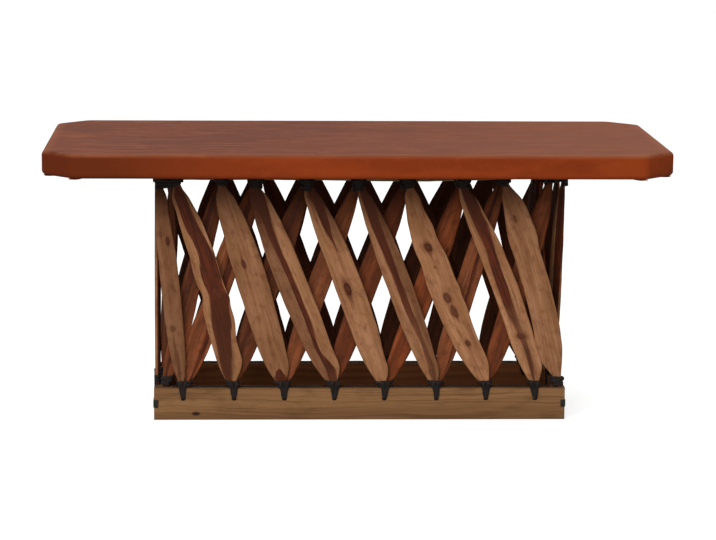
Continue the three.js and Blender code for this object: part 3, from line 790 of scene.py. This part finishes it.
# Bends of an edge: share of the length, side, how far out in mm, and its spread as a share
kinks = of_front({
    1: [(0.9, 1, 3, 0.06)],
    2: [(0.43, -1, -5, 0.045), (0.6, -1, -2, 0.06), (0.42, 1, 3, 0.03), (0.33, 1, 4, 0.08),
        (0.12, 1, 7, 0.07), (0.88, -1, 3, 0.05)],
    3: [(0.85, -1, 3, 0.08), (0.1, 1, 3, 0.05)],
    4: [(0.88, -1, 3, 0.07), (0.1, 1, 6, 0.06)],
    5: [(0.9, -1, 2, 0.06), (0.08, 1, 4, 0.05)],
    6: [(0.08, 1, 3, 0.05)],
    7: [(0.83, 1, -5, 0.07), (0.7, 1, -4, 0.05), (0.47, 1, 2, 0.03), (0.38, 1, 2, 0.05),
        (0.12, 1, 4, 0.07), (0.56, -1, -2, 0.06)],
    8: [(0.1, 1, 5, 0.06), (0.88, 1, 3, 0.05)],
    9: [(0.85, 1, 8, 0.09), (0.72, 1, 5, 0.06), (0.7, -1, 3, 0.08), (0.17, -1, 6, 0.07),
        (0.03, -1, -6, 0.05), (0.08, 1, -3, 0.08)],
}) | {
    "front_inner_slat_1": [(0.22, 1, 2, 0.06), (0.42, 1, -3, 0.08)],
    "front_inner_slat_2": [(0.2, -1, 4, 0.08), (0.42, -1, -4, 0.08)],
}
# How far slats are darkened all over
tones = of_front({
    1: 0.58, 2: 0.14, 3: 0.36, 4: 0.2, 5: 0.17, 6: 0.28, 7: 0.08, 8: 0.03, 9: 0.25,
}) | {
    "front_inner_slat_1": 0.5, "front_inner_slat_3": 0.6, "front_inner_slat_5": 0.5,
    "front_inner_slat_7": 0.2, "left_inner_slat_1": 0.6, "left_inner_slat_2": 0.6,
}
# Slats of the ends that are twisted between foot and head: by how much, how much further in they
# stand there, and how far they bow out under the pole
end_stances = {
    "left_inner_slat_1": (0.5, -0.0002, 0.004), "left_inner_slat_2": (0.5, -0.0002, 0.004),
    "right_inner_slat_1": (0.36, 0.0145, 0), "right_inner_slat_2": (0.36, 0.0145, 0),
    "right_outer_slat_1": (0.36, 0.007, 0), "right_outer_slat_2": (0.36, 0.007, 0.003),
}
# How dark the painted shade on the split inner face is, where it is paler than elsewhere
inner_shade_strength = {"right_outer_slat_1": 0, "right_outer_slat_2": 0.7}


def slat_spine(name):
    """A slat node's stations: its level, and its middle across, half width, depth and half
    thickness there."""
    across, depth, level = from_face(name.split("_")[0], node_points(name))
    rows = []
    for station, here in zip(*by_station(level)):
        row = [station]
        for extent in (across[here], depth[here]):
            row += [(extent.min() + extent.max()) / 2, np.ptp(extent) / 2]
        rows.append(row)
    return np.array(rows)


spines = {name: slat_spine(name) for name in nodes if "_slat_" in name}

# A slat's rings as shares of its length, and how much each is drawn in to round its ends, a
# quarter circle from tip_size up
ring_share = np.concatenate([[0, 0.003], np.linspace(0.008, 0.992, 150), [0.997, 1]])
tip_size, tip_share = 0.55, 0.006
from_tip = np.clip(np.minimum(ring_share, 1 - ring_share) / tip_share, 0, 1)
ring_size = tip_size + (1 - tip_size) * np.sqrt(1 - (1 - from_tip) ** 2)
# Its section, a rounded oblong: how far towards an edge and how far out each point stands
slat_sides, closer_at_edges = 40, 0.225
slat_turn = (np.arange(slat_sides) + 0.5) * TURN / slat_sides
slat_turn += closer_at_edges * np.sin(2 * slat_turn)
edgeways, outways = squared(np.cos(slat_turn), 0.72), squared(np.sin(slat_turn), 0.62)


def tapered(name, share):
    """How much of a slat's width is left: less at the foot, and at the head of an outer slat."""
    foot = 0.28 * np.exp(-((share / 0.035) ** 2))
    head = np.clip((share - 0.88) / 0.07, 0, 1)
    return 1 - foot - (0.45 if "outer" in name else 0.2) * head**2 * (3 - 2 * head)


def slat_edges(name, number, half):
    """How far a slat's two edges stand from its middle: half its width, with waves that die out at
    its ends, and with its bends, each a bell curve along it."""
    wavering = 0.0011
    fade = np.sin(np.pi * ring_share) ** 0.5
    edges = [half + waves(ring_share, seed, wavering, 1.5, 7) * fade
             for seed in (3 * number, 3 * number + 1)]
    for at, side, out, spread in kinks.get(name, []):
        edges[side > 0] = edges[side > 0] + out * MM * np.exp(-((ring_share - at) / spread) ** 2)
    return [edge * ring_size for edge in edges]


def is_plain(name):
    """Whether the tables give a slat neither heartwood nor knots."""
    return name not in hearts and name not in knots


def knots_of(name, length, stations, halves, dice):
    """A slat's knots: place across and along, half width and half length, all in metres, and
    darkness. A plain slat gets up to two made-up ones."""
    if is_plain(name):
        most_aside = 0.012
        made_up = dice.uniform((0.2, -1), (0.85, 1), (dice.integers(0, 3), 2))
        return [(a * most_aside, s * length, dice.uniform(2.5, 5) * MM, dice.uniform(5, 9) * MM,
                 dice.uniform(0.5, 1)) for s, a in made_up]
    return [(a * np.interp(s, stations, halves), s * length, wide * MM, long * MM, dark)
            for s, a, wide, long, dark in knots.get(name, [])]


def knot_fields(places, marked):
    """How near each place is to a knot, in knot radii, how dark that knot is, how far it pushes
    the grain aside, and the flame above and below it. All of them change smoothly between
    knots."""
    reach = np.full(places.shape[:2], 9.0)
    weight, darkness, bend, flame = (np.zeros(places.shape[:2]) for _ in range(4))
    for across, along, wide, long, dark in marked:
        x, y = (places[..., 0] - across) / wide, (places[..., 1] - along) / long
        here = np.hypot(x, y)
        reach = np.minimum(reach, here)
        nearness = np.exp(-3 * here) + 1e-9
        weight += nearness
        darkness += nearness * dark
        bend -= 0.7 * wide * x / np.maximum(here**2, 1) * np.exp(-((here / 3) ** 2))
        flame = np.maximum(flame, 0.75 * dark * np.exp(-1.1 * x**2 - (y / 3.4) ** 2))
    return reach, darkness / np.maximum(weight, 1e-9), bend, flame


def stripe(rows, spread):
    """How far each point of a slat is inside a stripe along it, as a share of half its width, and
    how dark the stripe is there: its half width less the distance from its middle."""
    at, *columns = np.array(rows, float).T
    middle, wide, dark = (eased(at, column, ring_share, spread)[:, None] for column in columns)
    return wide - np.abs(edgeways - middle), dark


def heart_fields(name, half, dice):
    """How far each point of a slat is inside its heartwood, in metres, how dark that is, and how
    dark the wood is all over: its own tone and bands, and painted shade under the top, which grows
    towards the head."""
    rows = hearts.get(name)
    if rows is None:
        start, end = dice.uniform(-0.7, 0.7, 2)
        wide = dice.uniform(-0.5, 0.45) if is_plain(name) else -0.5
        rows = [(0, start, wide, 0.8), (1, end, wide + 0.2 * is_plain(name), 0.9)]
    inside, dark = stripe(rows, 0.03)
    inside_band, band_dark = stripe(darker_bands.get(name, [(0, 0, 0, 0), (1, 0, 0, 0)]), 0)
    band_share = np.clip(inside_band / 0.4 + 0.5, 0, 1)
    # Painted shade under the top: the slats darken over the last quarter of their length towards
    # the head
    under_top_shade = np.clip((ring_share[:, None] - 0.74) / 0.26, 0, 1)
    tone_and_shade = tones.get(name, dice.uniform(0, 0.3)) + 0.7 * under_top_shade**1.6 + band_share * band_dark
    darkening, darkest = 1.15, 0.95
    return inside * half[:, None], np.minimum(dark * darkening, 1), np.minimum(tone_and_shade, darkest)


def split_slat(name, number):
    """A slat as split and shaved: its width and line follow the node's, its section is a rounded
    oblong with a crowned outer face, and its edges waver and bend. Some slats of the ends are
    twisted between foot and head. Marks say where the heartwood and the knots are."""
    spine, dice = spines[name], np.random.default_rng(500 + number)
    length = spine[-1, 0] - spine[0, 0]
    stations = (spine[:, 0] - spine[0, 0]) / length
    half, depth, thick = (eased(stations, spine[:, column], ring_share) for column in (2, 3, 4))
    half = half * tapered(name, ring_share)
    middle, depth = np.interp(ring_share, stations, spine[:, 1])[:, None], depth[:, None]
    planed = 0.97
    thick = (thick * ring_size * planed)[:, None]
    left, right = slat_edges(name, number, half)
    aside = edgeways * np.where(edgeways < 0, left[:, None], right[:, None])
    places = side_by_side(aside, (ring_share * length)[:, None])

    marked = knots_of(name, length, stations, spine[:, 2], dice)
    nearness, darkness, bend, flame = knot_fields(places, marked)
    heart = heart_fields(name, half, dice)
    # Painted shade: slats of the inner layer get most of the darker, redder cedar, outer slats a
    # little
    inner_layer_shade = dice.uniform(0.75, 1) if "inner" in name else dice.uniform(0, 0.12)
    # Painted shade: full on the inner split face, weaker across the sides, none on the outer face
    inner_face_shade = np.clip(0.42 - outways * 1.6, 0, 1) * inner_shade_strength.get(name, 0.88)

    shave_depth, shaves_across, swell_height = 0.00022, 7, 0.0007
    wander = waves(ring_share, 3 * number + 2, 3, 1)[:, None]
    shave = shave_depth * np.sin(edgeways * shaves_across + wander)
    swell = np.exp(-0.7 * nearness**2) * darkness * swell_height
    behind = -outways * thick - (shave + swell) * (outways > 0)
    twist, shift, bow = end_stances.get(name, (0, 0, 0))
    between_ends = (1 - np.abs(2 * ring_share - 1) ** 4)[:, None]
    under_pole = np.exp(-(((ring_share - 0.87) / 0.09) ** 2))[:, None]
    twist = twist * between_ends
    across = middle + aside * np.cos(twist) - behind * np.sin(twist)
    depth = depth + shift * between_ends - bow * under_pole
    depth = depth + aside * np.sin(twist) + behind * np.cos(twist)
    shell = tube(
        on_face(name.split("_")[0], across, depth, (spine[0, 0] + ring_share * length)[:, None]),
        grain=places + dice.uniform(0, 9, 2),
        knot=side_by_side(nearness, darkness, bend),
        heart=side_by_side(*heart),
        sides=side_by_side(inner_face_shade, inner_layer_shade, flame),
    )
    return piece(f"{name}_split", [shell], cedar, "slat_wood", name)


for number, name in enumerate(sorted(spines)):
    split_slat(name, number)


# Lashings

# Places of the lashings, right of a face's middle: the long faces' as shares of the base's length,
# the ends' in metres
base_length = 2 * base_half[0]
foot_places = base_length * np.array([
    -0.478, -0.429, -0.306, -0.184, -0.0625, 0.059, 0.186, 0.3065, 0.427, 0.482,
])
head_places = base_length * np.array([
    -0.472, -0.457, -0.336, -0.256, -0.131, -0.01, 0.112, 0.2405, 0.344, 0.457,
])
end_foot_places = np.array([-0.09, 0, 0.0804])
end_head_places = np.array([-0.0925, 0, 0.0558])
# How far above the board each turn round a foot lies
end_rises = (0.0022, 0.0058, 0.0094, 0.013)
middle_rises = (0.0022, 0.0056, 0.009)
corner_rises = (0.005, 0.0088, 0.0126, 0.016)
# Turns of thong that show below the pole at each place of a long face, and of an end face
turns_below = (2, 1, 1, 2, 3, 3, 2, 2, 1, 1)
end_turns_below = (1, 2, 1)
pole_places = node_points("front_pole")
pole_centre = pole_places[pole_places[:, 0] < pole_places[:, 0].min() + 1e-4, 2].mean()
pole_front, pole_back = 0.0073, 0.0313
pole_depth = (pole_front + pole_back) / 2
# How high and thick the turns round feet and heads are
foot_turn = {"height": 0.0052, "thickness": 0.0029}
head_turn = {"height": 0.006, "thickness": 0.0027}


def slim(face):
    """How thick the thong of a face is beside that of the long faces."""
    return 1.0 if face in ("front", "back") else 0.62


def held_at(face, place, level, reach=0.024):
    """What a lashing takes in at a level: the extent across, and the front and back in depth, of
    the slats whose middle there is within reach of its place, with the thong's half thickness
    round them."""
    half_thong = 0.0016 * slim(face)
    held = []
    for name, spine in spines.items():
        levels, *columns = spine.T
        middle, half, depth, thick = (np.interp(level, levels, column) for column in columns)
        if name.startswith(face) and abs(middle - place) < reach:
            half *= tapered(name, (level - levels[0]) / (levels[-1] - levels[0]))
            held.append((middle - half, middle + half, depth - thick, depth + thick))
    nothing_there = (place - 0.008, place + 0.008, 0.0015, 0.0161)
    left, right, front, back = np.transpose(held or [nothing_there])
    return (left.min() - half_thong, right.max() + half_thong,
            front.min() - half_thong, back.max() + half_thong)


def ring_round(face, held, level, seed, tilt, height, thickness):
    """A turn of thong round what stands in a rounded oblong, lying flat against it."""
    left, right, front, back = held
    x, y = (left + right) / 2, (front + back) / 2
    sides, roundness, wavering = 40, 0.55, 0.0007
    turn = np.arange(sides) * TURN / sides
    cosine, sine = np.cos(turn), np.sin(turn)
    across = x + (right - left) / 2 * squared(cosine, roundness)
    depth = y + (back - front) / 2 * squared(sine, roundness)
    lift = level + tilt * cosine + waves(np.sin(turn / 2), seed, wavering, 1)
    outwards = on_face(face, cosine + x, y + sine, 0) - on_face(face, x, y, 0)
    path = on_face(face, across, depth, lift)
    return band(path, outwards, height, thickness * slim(face), seed, closed=True)


def run_of_thong(face, controls, core, width, thickness, seed, count=40):
    """A run of thong through places on a face, flat against what it goes round, whose middle is
    core, all as (across, depth, level). width is a number, or levels and the widths there."""
    path = smooth_path(controls, count)
    if isinstance(width, tuple):
        width = np.interp(path[:, 2], *width)
    spot = on_face(face, *path.T)
    out = on_face(face, *(path + (path - core)).T) - spot
    return band(spot, out, width, thickness * slim(face), seed)


def foot_tails(face, place, held, seed):
    """The two tails of a foot lashing. Each is tucked behind the turns in front of the board,
    comes down its face to the hole, goes through and up the back, so that they fill a blunt
    wedge."""
    hole, thickness = board_top - 0.018, 0.0026
    flat = slim(face)
    front = min(held[2] - 0.0022, -0.0012) * flat
    core = (place, board_thickness / 2, hole + 0.012)
    widths = ([hole, hole + 0.006, board_top], [0.0052, 0.0062, 0.0068])
    shells = []
    for side in (-1, 1):
        lean = side * (1 + 0.3 * np.sin(seed * 1.7 + side)) - 0.25 * np.sin(seed * 0.9)
        lift = 0.0004 * (side > 0)
        down = [
            (lean * 0.0042, front + 0.0026, board_top + 0.0106),
            (lean * 0.0046, front + 0.0002, board_top + 0.0092),
            (lean * 0.0044, front - lift, board_top + 0.005),
            (lean * 0.0033, (-0.0018 - lift) * flat, board_top - 0.0008),
            (lean * 0.0022, (-0.0017 - lift) * flat, hole + 0.0105),
            (lean * 0.0015, (-0.0016 - lift) * flat, hole + 0.005),
            (side * 0.0008, -0.0011, hole - 0.0008),
            (side * 0.0007, 0.0035, hole),
        ]
        up = [(across, board_thickness - depth, level) for across, depth, level in down[::-1]]
        controls = np.array(down + up) + (place, 0, 0)
        shells.append(run_of_thong(face, controls, core, widths, thickness, seed + 7 * side, 96))
    return shells


def foot_lashing(face, place, rises, seed, has_hole):
    """Turns of thong round the slat feet, one over another, and tails to the hole where there is
    one. Also gives what the topmost turn takes in."""
    shells = []
    for order, rise in enumerate(rises):
        held = held_at(face, place, board_top + rise)
        tilt = 0.0013 * (-1) ** (order + seed)
        shells.append(ring_round(face, held, board_top + rise, seed + order, tilt, **foot_turn))
    if has_hole:
        shells += foot_tails(face, place, held, seed)
    return shells, held


def turn_across_head(face, left, right, outer, inner, level, slope, seed):
    """A turn that shows on one side of the pole: from inside the pole's line at the left of the
    heads out across them and back in at the right."""
    width, thickness, crown = 0.0056, 0.0024, 0.0004
    middle, halfway = (left + right) / 2, (outer + inner) / 2
    past = outer + crown * np.sign(outer - inner)
    controls = np.array([
        (left + 0.0015, inner, -slope), (left - 0.0004, halfway, -slope),
        (left + 0.003, outer, -slope * 0.6), (middle, past, 0),
        (right - 0.003, outer, slope * 0.6), (right + 0.0004, halfway, slope),
        (right - 0.0015, inner, slope),
    ]) + (0, 0, level)
    return run_of_thong(face, controls, (middle, inner, level), width, thickness, seed)


def turn_under_pole(face, edge, side, seed):
    """A turn that comes down before the pole beside the heads, goes under it and up behind."""
    width, thickness = 0.0062, 0.0023
    near_front = [
        (edge, pole_front - 0.0012, 0), (edge, pole_front - 0.0016, -0.006),
        (edge + side * 0.0005, pole_front + 0.004, -0.0125),
    ]
    near_back = [
        (edge - side * 0.0005, pole_back - 0.004, -0.0125), (edge, pole_back + 0.0016, -0.006),
        (edge, pole_back + 0.0012, 0),
    ]
    lowest = (edge, pole_depth, -0.0148)
    controls = np.array([*near_front, lowest, *near_back]) + (0, 0, pole_centre)
    return run_of_thong(face, controls, (edge, pole_depth, pole_centre), width, thickness, seed)


def head_lashing(face, place, below, seed):
    """Turns of thong round a pole and the slat heads at it: some below the pole round all of them,
    more across the slat on each side of the pole, and two that cross under the pole beside the
    heads."""
    widest = 0.0155
    left, right, front, back = held_at(face, place, pole_centre - 0.017, 0.03)
    left, right = max(left, place - widest), min(right, place + widest)
    shells = []
    for step in range(below):
        level = pole_centre + (-0.0158 - 0.0043 * step)
        tilt = 0.0022 * (-1) ** (step + seed)
        held = (left - 0.0003 * step, right + 0.0003 * step, front, back)
        shells.append(ring_round(face, held, level, seed + step, tilt, **head_turn))
    for step, rise in enumerate((-0.0108, -0.0056, -0.0012)):
        slope = 0.0016 * (-1) ** (step + seed)
        before_pole = (front + 0.0003, pole_front + 0.001)
        behind_pole = (back - 0.0003, pole_back - 0.001)
        for outer, inner in (before_pole, behind_pole):
            shells.append(turn_across_head(face, left, right, outer, inner, pole_centre + rise,
                                           slope, seed + 11 * step + (outer < inner)))
    shells.append(turn_under_pole(face, left - 0.0012, -1, seed - 41))
    shells.append(turn_under_pole(face, right + 0.0012, 1, seed + 41))
    return shells


def strand(face, start, end, depth, level, facing_up, seed):
    """A loose run of thong from one lashing to the next, wandering a little by a sum of sines that
    dies out at its ends. It lies flat on a board, facing up, or behind a pole, facing in."""
    width, thickness, spacing, wandering = 0.0056, 0.0021, 0.004, 0.0016
    facing_in = float(not facing_up)
    share = np.linspace(0, 1, max(8, int((end - start) / spacing)))
    sway = waves(share, seed, wandering, 1) * np.sin(np.pi * share)
    across = start + (end - start) * share
    path = on_face(face, across, depth + sway * facing_in, level + np.abs(sway) * 0.4)
    out = on_face(face, 0, facing_in, float(facing_up)) - on_face(face, 0, 0, 0)
    return band(path, out, width, thickness, seed)


# Where the strands run: how far from the middle of a head they start, how far behind a face's
# outer side those at the heads are, and the least gap between feet that has one
head_half, strand_depth, least_gap = 0.012, 0.0328, 0.004

for first, second in (("front", "right"), ("back", "left")):
    feet, heads, seed = [], [], 100 if first == "front" else 900
    for face in (first, second):
        is_long = face == first
        places = foot_places if is_long else end_foot_places
        previous = None
        for order, place in enumerate(places):
            seed += 3
            at_corner = order in (0, len(places) - 1)
            rises = (corner_rises if at_corner else middle_rises) if is_long else end_rises
            shells, (left, right, _, _) = foot_lashing(face, place, rises, seed, not at_corner)
            feet += shells
            if previous is not None and left - previous > least_gap:
                feet.append(strand(face, previous - 0.001, left + 0.001, board_thickness / 2,
                                   board_top + 0.0013, True, seed))
            previous = right
        places = head_places if is_long else end_head_places
        below = turns_below if is_long else end_turns_below
        for order, place in enumerate(places):
            seed += 3
            heads += head_lashing(face, place, below[order], seed)
            if order:
                heads.append(strand(face, places[order - 1] + head_half, place - head_half,
                                    strand_depth, pole_centre - 0.005, False, seed))
    piece(f"foot_thong_{first}_{second}", feet, thong, "thong", f"foot_lashing_{first}_{second}")
    piece(f"head_thong_{first}_{second}", heads, thong, "thong", f"head_lashing_{first}_{second}")


# Corner straps

def corner_strap(corner, seed):
    """A strap bent round a corner of the base: its node's two legs as one band, square to the
    floor and rounded at the bend by a quarter circle, with one nail in its short leg and three in
    its long one."""
    places = node_points(f"corner_strap_{corner}")
    low, high = places.min(0), places.max(0)
    reach_x, reach_y, height = high - low
    side = np.where(low > base_middle, 1, -1)[:2]
    tip = np.where(side > 0, high[:2], low[:2])
    thick, bend, level = 0.0012, 0.0035, (low[2] + high[2]) / 2
    inset = thick / 2 + 0.001
    turn = np.linspace(0, TURN / 4, 9)
    round_x, round_y = (bend - (bend - inset) * wave(turn) for wave in (np.sin, np.cos))
    way = np.stack([
        np.concatenate([np.linspace(reach_x - inset, bend, 8), round_x, np.full(20, inset)]),
        np.concatenate([np.full(8, inset), round_y, np.linspace(bend + 0.001, reach_y, 20)]),
    ], -1)
    path = np.concatenate([tip - side * way, np.full((len(way), 1), level)], 1)
    path[:, 2] += 0.0005 * np.sin(lengths_along(path) * 130 + seed)
    out = np.concatenate([side * np.clip((bend - way) / bend, 0, 1), np.zeros((len(way), 1))], 1)
    strip = band(path, out, height * 0.9, thick, seed)
    nails = [((reach_x * 0.55, inset), 0.0015, (0, side[1], 0))]
    nails += [((inset, reach_y * share), rise, (side[0], 0, 0))
              for share, rise in ((0.3, 0.002), (0.62, -0.002), (0.93, 0.001))]
    nail_radius, nail_height = 0.0021, 0.0005
    heads = [dome((*(tip - side * offset), level + rise), outwards, nail_radius, nail_height)
             for offset, rise, outwards in nails]
    piece(f"strap_{corner}", [strip], strap, "strap", f"corner_strap_{corner}")
    piece(f"strap_nails_{corner}", heads, iron, None)


for seed, corner in enumerate(("front_left", "front_right", "back_right", "back_left")):
    corner_strap(corner, seed)


# Camera, light and floor

def set_camera():
    """The photograph's view: a camera at a place, turned by yaw and pitch and rolled a little. Its
    lens is given in pixels of a picture 716 pixels wide."""
    place, yaw, pitch, roll = (-0.1975, -4.7548, 1.00905), 0.0432, 0.1615, 0.0073
    lens_pixels, picture_pixels, sensor = 2850.09, 716, 36
    ahead = Vector((np.sin(yaw) * np.cos(pitch), np.cos(yaw) * np.cos(pitch), -np.sin(pitch)))
    right = Vector((np.cos(yaw), -np.sin(yaw), 0))
    up = right.cross(ahead)
    rolled_right = np.cos(roll) * right + np.sin(roll) * up
    rolled_up = -np.sin(roll) * right + np.cos(roll) * up
    data = bpy.data.cameras.new("view")
    data.sensor_width, data.lens = sensor, lens_pixels / picture_pixels * sensor
    data.clip_end = 60
    camera = bpy.data.objects.new("view", data)
    turned = Matrix((rolled_right, rolled_up, -ahead)).transposed().to_4x4()
    camera.matrix_world = Matrix.Translation(place) @ turned
    bpy.context.scene.camera = put(camera)


def softbox(name, place, power):
    """An oblong lamp that faces the middle of the table's height."""
    width, height, target = 2.4, 1.8, Vector((0, 0, 0.25))
    data = bpy.data.lights.new(name, "AREA")
    data.shape, data.size, data.size_y, data.energy = "RECTANGLE", width, height, power
    lamp = bpy.data.objects.new(name, data)
    lamp.location = place
    lamp.rotation_euler = (target - Vector(place)).to_track_quat("-Z", "Y").to_euler()
    put(lamp)


def set_surroundings():
    """White behind everything that the camera and reflections see, a softer sky for the light
    itself, and a pale floor that keeps the shadow and glows for the camera."""
    world = bpy.data.worlds.new("studio")
    bpy.context.scene.world = world
    sky = Nodes(world, "Background")
    seen = sky.ray("Camera").at_least(sky.ray("Glossy")).at_least(sky.ray("Transmission"))
    for_light, for_camera = 0.42, 1.0
    strength = sky.node("ShaderNodeMapRange", {}, {0: seen, 3: for_light, 4: for_camera})
    sky.feed(sky.shader, {"Color": (1, 1, 1, 1), "Strength": strength})

    finish = Finish("pale_floor", Roughness=0.9, Specular_IOR_Level=0.1, Emission_Strength=1.0)
    glow, reach, below = 0.77, 15, -0.0005
    finish.feed(finish.shader, {
        "Base Color": finish.blend(finish.ray("Camera"), (0.42, 0.41, 0.4, 1), (0.5, 0.5, 0.5, 1)),
        "Emission Color": finish.blend(finish.ray("Camera"), (0, 0, 0, 1), (glow, glow, glow, 1)),
    })
    mesh = bpy.data.meshes.new("floor")
    corners = [(x * reach, y * reach, below) for x, y in ((-1, -1), (1, -1), (1, 1), (-1, 1))]
    mesh.from_pydata(corners, [], [(0, 1, 2, 3)])
    mesh.materials.append(finish.material)
    put(bpy.data.objects.new("floor", mesh))


set_camera()
set_surroundings()
softbox("front_softbox", (-1.3, -3.4, 2.3), 95)
softbox("overhead_softbox", (0.6, 1.0, 3.4), 24)
bpy.context.scene.view_settings.view_transform = "Standard"
